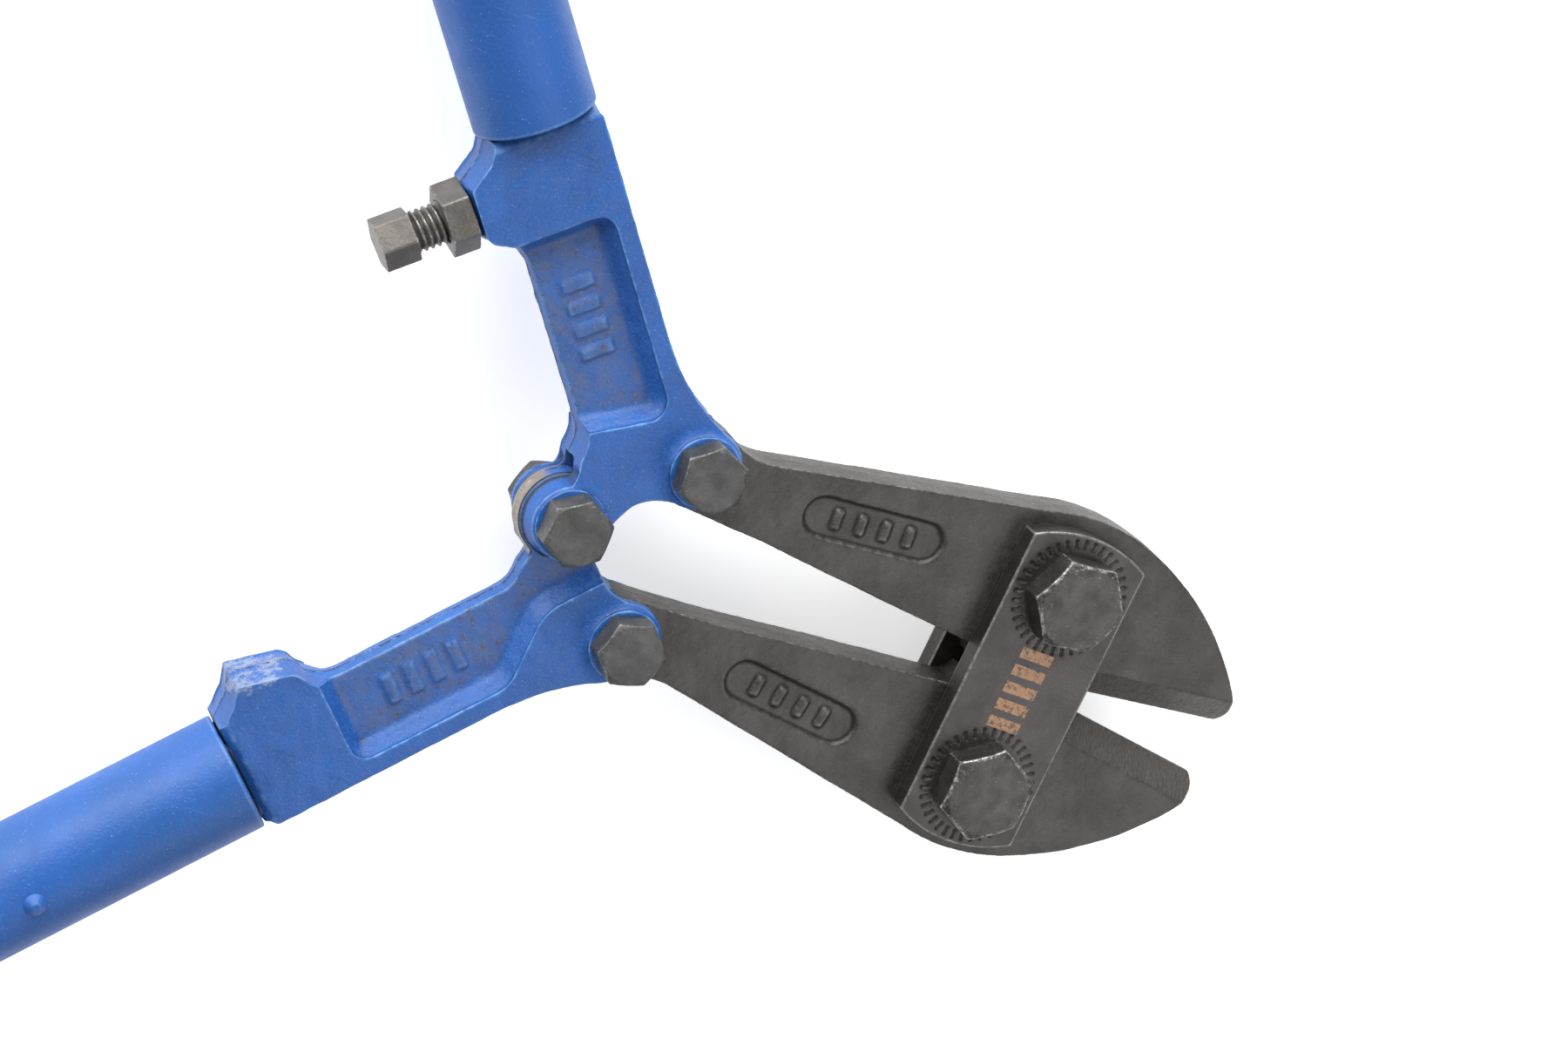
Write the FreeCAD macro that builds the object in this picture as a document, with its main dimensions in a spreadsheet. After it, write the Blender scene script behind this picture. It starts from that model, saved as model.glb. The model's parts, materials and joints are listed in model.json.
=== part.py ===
"""18 inch (450 mm) bolt cutters as a parametric FreeCAD document.

Frame: millimetres, +Z up, the tool lying flat.  +X runs along the line of symmetry towards the jaw
tips, +Y towards the upper handle.  The origin is under the middle of the tool, on the surface it lies
on.  The jaws are a little open and the handles stand `handle_angle` either side of -X.

Each moving piece is drawn in a frame of its own and placed by its pivot:
  jaw frame     origin at its jaw bolt, x along its cutting edge
  handle frame  origin at the hub bolt, -x along its tube, y from the hub bolt towards its tail bolt
The lower pieces are the upper ones mirrored in the plane of symmetry (side = -1).
"""
import FreeCAD, Part
import math
import os

import Sketcher

SIZES = {
    # where things are
    "mid_height": 19.4,        # middle plane of the tool above the surface it lies on
    "hub_along": 31.6,         # hub bolt along X
    "handle_angle": 48.0,      # tubes, either side of -X
    "link_arm": 26.9,          # hub bolt to tail bolt
    "jaw_reach": 80.3,         # tail bolt to jaw bolt, along X
    "bolt_half_gap": 20.5,     # jaw bolts, either side of the line of symmetry
    "closing_angle": 6.8,      # turn of each jaw until the edges meet
    "side_play": 0.15,         # gap on each side of a blade in its fork
    "pin_play": 0.06,          # radial gap of a pivot that turns
    "bolt_play": 0.04,         # radial gap of a bolt in a piece that it clamps
    # jaws
    "jaw_thick": 9.5,
    "tail_eye": 8.4,
    "jaw_bolt_radius": 5.0,
    "edge_drop": 20.35,        # jaw bolt to cutting edge
    "edge_start": 9.0,
    "edge_end": 46.2,
    "edge_land": 0.6,          # width of the blunt cutting edge
    "bevel_rise": 5.8,
    "recess_along": -41.9,     # middle of the long recess in each face of the tail, in the jaw frame
    "recess_across": 3.1,
    "recess_lean": -1.0,
    "recess_deep": 0.5,
    "recess_half_wide": 4.2,
    "recess_half_long": 15.1,
    "bar_high": 0.35,          # plain raised bars, here and in the brackets
    "bar_half_wide": 0.8,
    "bar_half_long": 1.9,
    "bar_pitch": 5.2,
    # link plates
    "plate_thick": 5.0,
    "plate_half_wide": 13.1,
    "plate_corner": 30.0,
    "plate_end_radius": 28.6,
    "tick_ring": 10.9,         # ring of short grooves round each jaw bolt
    "tick_long": 2.2,
    "tick_wide": 0.7,
    "tick_deep": 0.35,
    # hexagon bolts and nuts: size across flats, head height, nut height, tip past the nut
    "jaw_hex_flats": 17.0,
    "jaw_head_high": 6.0,
    "jaw_nut_high": 8.0,
    "jaw_tip_out": 1.5,
    "tail_bolt_radius": 4.0,
    "tail_hex_flats": 12.0,
    "tail_head_high": 5.3,
    "tail_nut_high": 4.0,
    "tail_tip_out": 0.6,
    "hex_chamfer": 0.55,
    "tip_chamfer": 0.5,
    "upper_jaw_head_turn": 6.6,
    "lower_jaw_head_turn": 33.3,
    "upper_tail_head_turn": 38.6,
    "lower_tail_head_turn": 16.3,
    "hub_head_turn": 31.8,
    # handle brackets
    "bracket_thick": 13.0,
    "web_thick": 5.0,          # floor between the recesses, and the tongue at the hub
    "pad_rise": 1.5,           # round pad under each bolt head and nut
    "pad_slope": 35.0,
    "pad_ledge": 0.3,          # step from the rim of an ear to its pad
    "tail_pad": 8.6,
    "hub_pad": 8.8,
    "tail_slot": 9.6,          # radius of the slot round the tail bolt
    "hub_slot": 11.5,
    "hub_free_play": 2.3,      # extra radial gap of the tongue on the hub bolt
    "wall_slope": 30.0,        # walls of the recesses
    "outer_edge": 28.4,
    "inner_edge": 7.8,
    "shoulder": 73.5,          # hub bolt to the end of the tube
    "web_bars_along": -42.0,   # first of the plain raised bars in each recess, in the handle frame
    "web_bars_across": 15.2,
    "web_bar_pitch": 4.5,
    "web_bar_half_wide": 1.1,
    "web_bar_half_long": 3.0,
    "stop_along": 61.0,        # hub bolt to the stop screw
    "stop_seat": 0.6,          # height of the face that the stop nut sits on
    "stop_pad": 0.3,           # height of the pad that the stop screw meets
    "stop_pad_lean": 15.0,     # its slope, which squares it to the screw when the tool is closed
    # tubes and grips
    "tube_axis": 17.2,
    "tube_radius": 11.4,
    "tube_wall": 1.8,
    "tube_end": 316.0,
    "tang_long": 48.0,
    "tang_play": 0.05,
    "rivet_along": 116.5,
    "rivet_radius": 2.2,
    "rivet_head_high": 1.6,
    "rivet_slope": 40.0,
    "grip_start": 196.0,
    "grip_end": 321.0,
    "grip_radius": 14.6,
    "collar_radius": 16.2,
    "collar_long": 3.0,
    # stop screw
    "stop_radius": 4.0,
    "stop_nut_high": 5.2,
    "stop_tip": 16.9,          # end of the screw's head beyond the hub's centre line
    "stop_head_high": 6.6,
    "stop_head_flats": 9.0,
    "stop_inside": 12.0,       # length of the screw inside the bracket
    "stop_travel": 3.0,        # how far the screw can be turned in
}
TICKS_IN_RING = 36
BARS_IN_RECESS = 4


class Size:
    """A number together with the text that works it out from the sheet."""

    def __init__(self, value, text):
        self.value = float(value)
        self.text = text

    def _join(self, other, sign, value):
        return Size(value, f"({self.text} {sign} {other.text})")

    def __add__(self, other):
        other = size(other)
        return self._join(other, "+", self.value + other.value)

    def __sub__(self, other):
        other = size(other)
        return self._join(other, "-", self.value - other.value)

    def __mul__(self, other):
        other = size(other)
        return self._join(other, "*", self.value * other.value)

    def __truediv__(self, other):
        other = size(other)
        return self._join(other, "/", self.value / other.value)

    def __neg__(self):
        return Size(-self.value, f"(0 - {self.text})")

    __radd__ = __add__

    def __rmul__(self, other):
        return self * other

    def __rsub__(self, other):
        return size(other) - self


def size(number):
    return number if isinstance(number, Size) else Size(number, f"{number:.6g}")


def cosine(angle):
    return Size(math.cos(math.radians(angle.value)), f"cos({angle.text})")


def sine(angle):
    return Size(math.sin(math.radians(angle.value)), f"sin({angle.text})")


doc = FreeCAD.newDocument("bolt_cutters")
sheet = doc.addObject("Spreadsheet::Sheet", "sizes")
for row, (alias, number) in enumerate(SIZES.items(), start=1):
    sheet.set(f"A{row}", alias)
    sheet.set(f"B{row}", str(number))
    sheet.setAlias(f"B{row}", alias)
doc.recompute()
S = {alias: Size(number, f"sizes.{alias}") for alias, number in SIZES.items()}

# places worked out from the sheet
tail_angle = 90 - S["handle_angle"]
tail_along = S["hub_along"] + S["link_arm"] * cosine(tail_angle)
tail_across = S["link_arm"] * sine(tail_angle)
bolt_along = tail_along + S["jaw_reach"]
tail_drop = S["bolt_half_gap"] - tail_across
half_jaw = S["jaw_thick"] / 2
half_fork = half_jaw + S["side_play"]
plate_face = half_fork + S["plate_thick"]
half_bracket = S["bracket_thick"] / 2
pad_face = half_bracket + S["pad_rise"]
half_web = S["web_thick"] / 2
half_tongue_slot = half_web + S["side_play"]
wall_inset = (half_bracket - half_web) * sine(S["wall_slope"]) / cosine(S["wall_slope"])
# tail bolt seen from the jaw bolt, in the jaw frame
tail_x = -(S["jaw_reach"] * cosine(S["closing_angle"]) + tail_drop * sine(S["closing_angle"]))
tail_y = S["jaw_reach"] * sine(S["closing_angle"]) - tail_drop * cosine(S["closing_angle"])

bodies = []


def new_body(name, along=0, across=0, up=None, turn=0):
    """A body at (along, across, up), turned about Z."""
    body = doc.addObject("PartDesign::Body", name)
    body.Label = name
    body.Placement = FreeCAD.Placement(FreeCAD.Vector(), FreeCAD.Rotation(FreeCAD.Vector(0, 0, 1), 1))
    up = S["mid_height"] if up is None else up
    for axis, place in (("x", along), ("y", across), ("z", up)):
        body.setExpression(f"Placement.Base.{axis}", size(place).text)
    body.setExpression("Placement.Rotation.Angle", size(turn).text)
    bodies.append(body)
    return body


def plane(body, role):
    return next(item for item in body.Origin.OriginFeatures if item.Role == role)


def new_sketch(body, name, level=0, role="XY_Plane", shift=(0, 0)):
    """A sketch on one of the body's own planes, `level` off it and with its origin shifted in it."""
    sketch = body.newObject("Sketcher::SketchObject", name)
    sketch.AttachmentSupport = [(plane(body, role), "")]
    sketch.MapMode = "FlatFace"
    for axis, place in (("x", shift[0]), ("y", shift[1]), ("z", level)):
        sketch.setExpression(f"AttachmentOffset.Base.{axis}", size(place).text)
    return sketch


def bind(sketch, kind, number, *where):
    number = size(number)
    index = sketch.addConstraint(Sketcher.Constraint(kind, *where, number.value))
    sketch.setExpression(f"Constraints[{index}]", number.text)


def draw(sketch, points):
    """Closed outline.  A point is (x, y), or (x, y, radius) when an arc leads to it from the point
    before: radius > 0 turns left, radius < 0 turns right, always less than half a circle."""
    places = [(size(p[0]), size(p[1])) for p in points]
    ends = []
    for index, point in enumerate(points):
        start = FreeCAD.Vector(*(c.value for c in places[index - 1]), 0)
        end = FreeCAD.Vector(*(c.value for c in places[index]), 0)
        if len(point) == 2:
            edge = sketch.addGeometry(Part.LineSegment(start, end), False)
            ends.append(((edge, 1), (edge, 2)))
            continue
        radius = size(point[2])
        bow = abs(radius.value)
        chord = end - start
        rise = math.sqrt(max(bow ** 2 - (chord.Length / 2) ** 2, 0))
        left = FreeCAD.Vector(-chord.y, chord.x, 0).normalize()
        turns_left = radius.value > 0
        centre = (start + end) / 2 + left * (rise if turns_left else -rise)
        first, last = (start, end) if turns_left else (end, start)
        angles = [math.atan2(p.y - centre.y, p.x - centre.x) for p in (first, last)]
        circle = Part.Circle(centre, FreeCAD.Vector(0, 0, 1), bow)
        edge = sketch.addGeometry(Part.ArcOfCircle(circle, *angles), False)
        ends.append(((edge, 1), (edge, 2)) if turns_left else ((edge, 2), (edge, 1)))
        bind(sketch, "Radius", radius if turns_left else -radius, edge)
    for index, (start, end) in enumerate(ends):
        following = ends[(index + 1) % len(ends)][0]
        sketch.addConstraint(Sketcher.Constraint("Coincident", *end, *following))
        bind(sketch, "DistanceX", places[index][0], *end)
        bind(sketch, "DistanceY", places[index][1], *end)


def draw_circle(sketch, x, y, radius):
    x, y, radius = size(x), size(y), size(radius)
    circle = Part.Circle(FreeCAD.Vector(x.value, y.value, 0), FreeCAD.Vector(0, 0, 1), radius.value)
    edge = sketch.addGeometry(circle, False)
    bind(sketch, "Radius", radius, edge)
    bind(sketch, "DistanceX", x, edge, 3)
    bind(sketch, "DistanceY", y, edge, 3)


def draw_hexagon(sketch, flats, turn=0):
    """Hexagon about the sketch's origin, its first corner at `turn` degrees."""
    radius = flats / 2 / cosine(size(30))
    corners = [size(turn) + 60 * k for k in range(6)]
    draw(sketch, [(radius * cosine(corner), radius * sine(corner)) for corner in corners])


def extrude(body, kind, name, sketch, length, both_ways=False, reverse=False, slope=None):
    """A Pad or Pocket of one sketch; a Pocket has to take material away."""
    before = body.Shape.Volume if body.Tip else 0
    feature = body.newObject(f"PartDesign::{kind}", name)
    feature.Profile = sketch
    feature.setExpression("Length", size(length).text)
    feature.SideType = "Symmetric" if both_ways else "One side"
    feature.Reversed = reverse
    if slope is not None:
        feature.setExpression("TaperAngle", size(slope).text)
    doc.recompute()
    after = body.Shape.Volume
    if (kind == "Pocket") != (after < before - 1e-6):
        raise RuntimeError(f"{body.Label}.{name} changed the volume from {before:.1f} to {after:.1f}")
    return feature


def pad(body, name, sketch, length, **how):
    return extrude(body, "Pad", name, sketch, length, **how)


def pocket(body, name, sketch, length, **how):
    return extrude(body, "Pocket", name, sketch, length, **how)


def mirror(body, name, features):
    """Repeat features on the other side of the middle plane."""
    feature = body.newObject("PartDesign::Mirrored", name)
    feature.Originals = features
    feature.MirrorPlane = (plane(body, "XY_Plane"), [""])
    body.Tip = feature
    doc.recompute()
    return feature


def ring_pattern(body, name, features, axis, count):
    feature = body.newObject("PartDesign::PolarPattern", name)
    feature.Originals = features
    feature.Axis = axis
    feature.Angle = 360
    feature.Occurrences = count
    body.Tip = feature
    doc.recompute()
    return feature


def hole(body, name, x, y, radius):
    sketch = new_sketch(body, name + "_sketch")
    draw_circle(sketch, x, y, radius)
    return pocket(body, name, sketch, 60, both_ways=True)


def turn_corners(body, name, flats, face, inward):
    """Turn the corners of a hexagon off at one face, at 30 degrees."""
    corner = flats / 2 / cosine(size(30)) + 0.5
    inner = flats / 2 - S["hex_chamfer"] / 2
    drop = (corner - inner) * sine(size(30)) / cosine(size(30))
    sketch = new_sketch(body, name + "_sketch", role="XZ_Plane")
    draw(sketch, [(inner, face), (corner, face), (corner, face + drop * inward)])
    before = body.Shape.Volume
    feature = body.newObject("PartDesign::Groove", name)
    feature.Profile = sketch
    feature.ReferenceAxis = (plane(body, "Z_Axis"), [""])
    feature.Angle = 360
    doc.recompute()
    if not body.Shape.Volume < before:
        raise RuntimeError(f"{body.Label}.{name} cuts nothing")


def bevel_rim(body, name, level, width):
    """Chamfer the round edges that lie wholly at one height."""
    tip = body.Tip
    names = []
    for index, edge in enumerate(body.Tip.Shape.Edges, start=1):
        box = edge.BoundBox
        flat = box.ZLength < 1e-6 and abs(box.ZMin - level.value) < 1e-6
        if flat and isinstance(edge.Curve, Part.Circle):
            names.append(f"Edge{index}")
    feature = body.newObject("PartDesign::Chamfer", name)
    feature.Base = (tip, names)
    feature.setExpression("Size", size(width).text)
    doc.recompute()


# ---------------------------------------------------------------- jaws

def make_jaw(name, side):
    """Forged blade: tail eye, straight back, curved nose and a two-sided bevel to a blunt edge."""
    body = new_body(name, bolt_along, side * S["bolt_half_gap"], turn=side * S["closing_angle"])
    edge_y = -S["edge_drop"]
    eye = S["tail_eye"]
    eye_tip = size(53)
    outline = [
        (S["edge_end"], edge_y),
        (47.6, -17.2, 3),
        (45.6, -12.6, 20),
        (13.7, 13.0, 66),
        (-6, 15.1, 42),
        (-66, 10.9),
        (tail_x + eye * cosine(eye_tip), tail_y + eye * sine(eye_tip), -13),
        (tail_x - eye, tail_y, eye),
        (tail_x, tail_y - eye, eye),
        (-63.5, -4.3),
        (-40.5, -9.3),
        (-14.6, -14.6),
        (-11.6, -18.0, -4),
        (S["edge_start"] - 1.5, -19.4),
        (S["edge_start"], edge_y),
    ]
    sketch = new_sketch(body, "outline")
    draw(sketch, on_side(outline, side))
    pad(body, "blade", sketch, S["jaw_thick"], both_ways=True)

    # two-sided bevel along the cutting edge
    bevel = new_sketch(body, "bevel_sketch", level=S["edge_start"], role="YZ_Plane")
    top = -S["edge_drop"] + S["bevel_rise"]
    draw(bevel, on_side_yz([(top, half_jaw), (edge_y, S["edge_land"] / 2), (edge_y, half_jaw)], side))
    cut = pocket(body, "bevel", bevel, 60, reverse=True)
    mirror(body, "bevel_rear", [cut])

    hole(body, "bolt_hole", 0, 0, S["jaw_bolt_radius"] + S["pin_play"])
    hole(body, "tail_hole", tail_x, side * tail_y, S["tail_bolt_radius"] + S["pin_play"])
    add_recess(body, side)
    return body


def on_side(points, side):
    """Mirror an outline in its x axis when side is -1."""
    if side > 0:
        return points
    return [(p[0], -size(p[1])) if len(p) == 2 else (p[0], -size(p[1]), -size(p[2])) for p in points]


def on_side_yz(points, side):
    return [(side * size(y), z) for y, z in points]


def rectangle(x, y, half_x, half_y):
    """Corners of a rectangle about (x, y)."""
    x, y = size(x), size(y)
    left, right, low, high = x - half_x, x + half_x, y - half_y, y + half_y
    return [(left, low), (right, low), (right, high), (left, high)]


def add_recess(body, side):
    """Long rounded recess in each face of the tail, with plain raised bars in it."""
    middle_x, middle_y, lean = S["recess_along"], S["recess_across"], S["recess_lean"]
    wide, length = S["recess_half_wide"], S["recess_half_long"]
    flat = length - wide

    def at(u, v):
        x = middle_x + size(u) * cosine(lean) - size(v) * sine(lean)
        y = middle_y + size(u) * sine(lean) + size(v) * cosine(lean)
        return x, y

    stadium = [
        at(flat, -wide),
        (*at(flat + wide, 0), wide),
        (*at(flat, wide), wide),
        at(-flat, wide),
        (*at(-flat - wide, 0), wide),
        (*at(-flat, -wide), wide),
    ]
    sketch = new_sketch(body, "recess_sketch", level=half_jaw)
    draw(sketch, on_side(stadium, side))
    cut = pocket(body, "recess", sketch, S["recess_deep"])
    bars = new_sketch(body, "bars_sketch", level=half_jaw - S["recess_deep"])
    for index in range(BARS_IN_RECESS):
        step = S["bar_pitch"] * (index - (BARS_IN_RECESS - 1) / 2)
        corners = rectangle(step, 0, S["bar_half_wide"], S["bar_half_long"])
        draw(bars, on_side([at(u, v) for u, v in corners], side))
    raised = pad(body, "bars", bars, S["bar_high"])
    mirror(body, "recess_rear", [cut, raised])


# ---------------------------------------------------------------- link plates

def make_plate(name, front):
    """Flat link with bowed ends; the front one has a ring of short grooves round each bolt."""
    face = 1 if front else -1
    body = new_body(name, bolt_along, 0)
    wide, corner = S["plate_half_wide"], S["plate_corner"]
    bow = S["plate_end_radius"]
    sketch = new_sketch(body, "outline", level=half_fork * face)
    draw(sketch, [(wide, corner), (-wide, corner, bow), (-wide, -corner), (wide, -corner, bow)])
    pad(body, "link", sketch, S["plate_thick"], reverse=not front)
    for label, side in (("upper", 1), ("lower", -1)):
        hole(body, label + "_hole", 0, side * S["bolt_half_gap"], S["jaw_bolt_radius"] + S["bolt_play"])
    if front:
        for label, side in (("upper", 1), ("lower", -1)):
            add_ticks(body, label, side * S["bolt_half_gap"])
    return body


def add_ticks(body, label, centre_y):
    """Ring of short radial grooves round one bolt."""
    half = S["tick_wide"] / 2
    inner, outer = S["tick_ring"] - S["tick_long"] / 2, S["tick_ring"] + S["tick_long"] / 2
    sketch = new_sketch(body, label + "_tick_sketch", level=plate_face, shift=(0, centre_y))
    draw(sketch, [(inner, -half), (outer, -half), (outer, half), (inner, half)])
    tick = pocket(body, label + "_tick", sketch, S["tick_deep"])
    ring_pattern(body, label + "_ticks", [tick], (sketch, ["N_Axis"]), TICKS_IN_RING)


# ---------------------------------------------------------------- bolts and nuts

def make_bolt(name, along, across, radius, flats, head_high, face, tip, turn):
    """Hexagon bolt along Z: head above `face`, shank down to `tip` below the middle plane."""
    body = new_body(name, along, across)
    shank = new_sketch(body, "shank_sketch", level=-tip)
    draw_circle(shank, 0, 0, radius)
    pad(body, "shank", shank, face + tip)
    bevel_rim(body, "tip_chamfer", -tip, S["tip_chamfer"])
    head = new_sketch(body, "head_sketch", level=face)
    draw_hexagon(head, flats, turn)
    pad(body, "head", head, head_high)
    turn_corners(body, "head_top", flats, face + head_high, -1)
    return body


def make_nut(name, along, across, radius, flats, high, face, turn):
    """Hexagon nut along Z, hanging below -`face`."""
    body = new_body(name, along, across)
    sketch = new_sketch(body, "outline", level=-face)
    draw_hexagon(sketch, flats, turn)
    pad(body, "nut", sketch, high, reverse=True)
    hole(body, "thread_hole", 0, 0, radius + S["bolt_play"])
    turn_corners(body, "outer_face", flats, -face - high, 1)
    return body


# ---------------------------------------------------------------- handle brackets

def in_handle(name, side):
    """A body in the handle frame of one side."""
    return new_body(name, S["hub_along"], 0, turn=-side * S["handle_angle"])


def stop_sketch(body, name, height):
    """Sketch across the stop screw at one height above the hub's centre line."""
    return new_sketch(body, name, level=-height, role="XZ_Plane", shift=(-S["stop_along"], 0))


def make_bracket(name, side, forked_hub):
    """Cast bracket: fork at the tail bolt, eye at the hub bolt (a fork or a tongue), recessed web,
    boss for the stop, and a round tang that goes into the tube."""
    body = in_handle(name, side)
    arm, hub, tail = S["link_arm"], S["hub_pad"], S["tail_pad"]
    inner, outer, end = S["inner_edge"], S["outer_edge"], -S["shoulder"]
    neck_angle, waist_angle, shoulder_angle = size(157), size(52.5), size(130)
    outline = stop_boss(forked_hub) + [
        (-15.2, inner),
        (-11.0, inner - 2.7, -7),
        (hub * cosine(neck_angle), hub * sine(neck_angle)),
        (0, -hub, hub),
        (hub * cosine(waist_angle), hub * sine(waist_angle), hub),
        (tail * cosine(waist_angle), arm - tail * sine(waist_angle), -8.3),
        (tail, arm, tail),
        (tail * cosine(shoulder_angle), arm + tail * sine(shoulder_angle), tail),
        (-27, outer, -45),
        (end + 1.8, outer),
        (end, outer - 1.8),
    ]
    sketch = new_sketch(body, "outline")
    draw(sketch, on_side(outline, side))
    pad(body, "casting", sketch, S["bracket_thick"], both_ways=True)

    tail_y = side * arm
    pads = new_sketch(body, "pads_sketch", level=half_bracket)
    draw_circle(pads, 0, tail_y, tail - S["pad_ledge"])
    if forked_hub:
        draw_circle(pads, 0, 0, hub - S["pad_ledge"])
    raised = pad(body, "pads", pads, S["pad_rise"], slope=-S["pad_slope"])
    mirror(body, "pads_rear", [raised])

    recess = new_sketch(body, "recess_sketch", level=half_bracket)
    draw(recess, on_side(recess_outline(forked_hub), side))
    cut = pocket(body, "recess", recess, half_bracket - half_web, slope=-S["wall_slope"])
    mirror(body, "recess_rear", [cut])
    add_web_bars(body, side)

    slot = new_sketch(body, "tail_slot_sketch")
    draw_circle(slot, 0, tail_y, S["tail_slot"])
    pocket(body, "tail_slot", slot, half_fork * 2, both_ways=True)
    if forked_hub:
        slot = new_sketch(body, "hub_slot_sketch")
        draw_circle(slot, 0, 0, S["hub_slot"])
        pocket(body, "hub_slot", slot, half_tongue_slot * 2, both_ways=True)
    hole(body, "tail_hole", 0, tail_y, S["tail_bolt_radius"] + S["bolt_play"])
    hub_gap = S["bolt_play"] if forked_hub else S["hub_free_play"]
    hole(body, "hub_hole", 0, 0, S["tail_bolt_radius"] + hub_gap)

    tang = new_sketch(body, "tang_sketch", level=end, role="YZ_Plane")
    draw_circle(tang, side * S["tube_axis"], 0, S["tube_radius"] - S["tube_wall"] - S["tang_play"])
    pad(body, "tang", tang, S["tang_long"], reverse=True)
    hole(body, "rivet_hole", -S["rivet_along"], side * S["tube_axis"], S["rivet_radius"])
    if forked_hub:
        bore = stop_sketch(body, "stop_sketch", S["stop_seat"])
        draw_circle(bore, 0, 0, S["stop_radius"] + S["pin_play"])
        pocket(body, "stop_bore", bore, S["stop_inside"] + S["stop_travel"] + 1)
    return body


def stop_boss(forked_hub):
    """Inner side of the bracket from the tube to the web: a flat seat for the stop nut beside a forked
    hub, and a sloping pad that the stop screw meets on the other bracket."""
    middle, inner, end = -S["stop_along"], S["inner_edge"], -S["shoulder"]
    if forked_hub:
        seat = S["stop_seat"]
        return [
            (end, inner - 0.6), (end + 3.3, inner - 2.4), (middle - 5.8, seat), (middle + 3.7, seat),
            (middle + 6.6, seat + 2.8, 4.5), (middle + 12, inner, -7),
        ]
    rise = sine(S["stop_pad_lean"]) / cosine(S["stop_pad_lean"])
    low, high = S["stop_pad"] - 6.4 * rise, S["stop_pad"] + 3.6 * rise
    return [
        (end, inner - 2.2), (end + 3.7, inner - 5.4), (middle - 6.4, low), (middle + 3.6, high),
        (middle + 6.2, high + 3.4, 4.5), (middle + 11.6, inner, -7),
    ]


def recess_outline(forked_hub):
    """Recess in each face, open along the inner edge.  It stops short of a forked hub, and runs on
    round a hub that is a tongue."""
    wide = 24
    start = -S["stop_along"] + 7.5
    far_end = [(start + 3, wide), (start, wide - 3, 3), (start, -6)]
    if forked_hub:
        return [(-16.6, -6), (-16.2, 5), (-13.2, 20.5), (-16.4, wide, 3.6)] + far_end
    rim = S["hub_pad"] + S["hub_free_play"] + wall_inset + 0.3
    return [
        (-20, -rim), (rim, -rim), (rim, rim), (-8, rim), (-13.5, rim + 2.2, -10),
        (-21.5, 23), (-25.5, wide, 6),
    ] + far_end


def add_web_bars(body, side):
    """Plain raised bars on the floor of each recess."""
    sketch = new_sketch(body, "web_bars_sketch", level=half_web)
    for index in range(BARS_IN_RECESS):
        step = S["web_bars_along"] + S["web_bar_pitch"] * index
        draw(sketch, on_side(rectangle(step, S["web_bars_across"], S["web_bar_half_wide"],
                                       S["web_bar_half_long"]), side))
    raised = pad(body, "web_bars", sketch, S["bar_high"])
    mirror(body, "web_bars_rear", [raised])


# ---------------------------------------------------------------- tubes, grips, rivets

def tube_sketch(body, name, level, side):
    return new_sketch(body, name, level=-level, role="YZ_Plane", shift=(side * S["tube_axis"], 0))


def make_tube(name, side):
    body = in_handle(name, side)
    sketch = tube_sketch(body, "section", S["shoulder"], side)
    draw_circle(sketch, 0, 0, S["tube_radius"])
    draw_circle(sketch, 0, 0, S["tube_radius"] - S["tube_wall"])
    pad(body, "tube", sketch, S["tube_end"] - S["shoulder"], reverse=True)
    hole(body, "rivet_hole", -S["rivet_along"], side * S["tube_axis"], S["rivet_radius"])
    return body


def make_grip(name, side):
    """Rubber sleeve with a collar at its mouth and a closed end."""
    body = in_handle(name, side)
    sleeve = tube_sketch(body, "sleeve_sketch", S["grip_start"], side)
    draw_circle(sleeve, 0, 0, S["grip_radius"])
    pad(body, "sleeve", sleeve, S["grip_end"] - S["grip_start"], reverse=True)
    collar = tube_sketch(body, "collar_sketch", S["grip_start"], side)
    draw_circle(collar, 0, 0, S["collar_radius"])
    pad(body, "collar", collar, S["collar_long"], reverse=True)
    bore = tube_sketch(body, "bore_sketch", S["grip_start"], side)
    draw_circle(bore, 0, 0, S["tube_radius"] + S["tang_play"])
    pocket(body, "bore", bore, S["tube_end"] - S["grip_start"], reverse=False)
    return body


def make_rivet(name, side):
    """Round pin through tube and tang, with a low pointed head at each end."""
    body = in_handle(name, side)
    shift = (-S["rivet_along"], side * S["tube_axis"])
    shank = new_sketch(body, "shank_sketch", shift=shift)
    draw_circle(shank, 0, 0, S["rivet_radius"])
    pad(body, "shank", shank, S["tube_radius"] * 2, both_ways=True)
    head = new_sketch(body, "head_sketch", level=S["tube_radius"], shift=shift)
    draw_circle(head, 0, 0, S["rivet_radius"])
    point = pad(body, "head", head, S["rivet_head_high"], slope=-S["rivet_slope"])
    mirror(body, "head_rear", [point])
    return body


# ---------------------------------------------------------------- stop screw

def make_stop_screw(name):
    """Screw that sets where the handles stop; its head looks at the pad on the other bracket."""
    body = in_handle(name, 1)
    inside = S["stop_seat"] + S["stop_inside"]
    neck = S["stop_tip"] - S["stop_head_high"]
    shank = stop_sketch(body, "shank_sketch", inside)
    draw_circle(shank, 0, 0, S["stop_radius"])
    pad(body, "shank", shank, inside + neck)
    head = stop_sketch(body, "head_sketch", -neck)
    draw_hexagon(head, S["stop_head_flats"], 30)
    pad(body, "head", head, S["stop_head_high"])
    return body


def make_stop_nut(name):
    body = in_handle(name, 1)
    sketch = stop_sketch(body, "outline", S["stop_seat"])
    draw_hexagon(sketch, S["tail_hex_flats"], 12)
    pad(body, "nut", sketch, S["stop_nut_high"])
    bore = stop_sketch(body, "bore_sketch", S["stop_seat"])
    draw_circle(bore, 0, 0, S["stop_radius"] + S["pin_play"])
    pocket(body, "thread_hole", bore, 60, both_ways=True)
    return body


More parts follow.
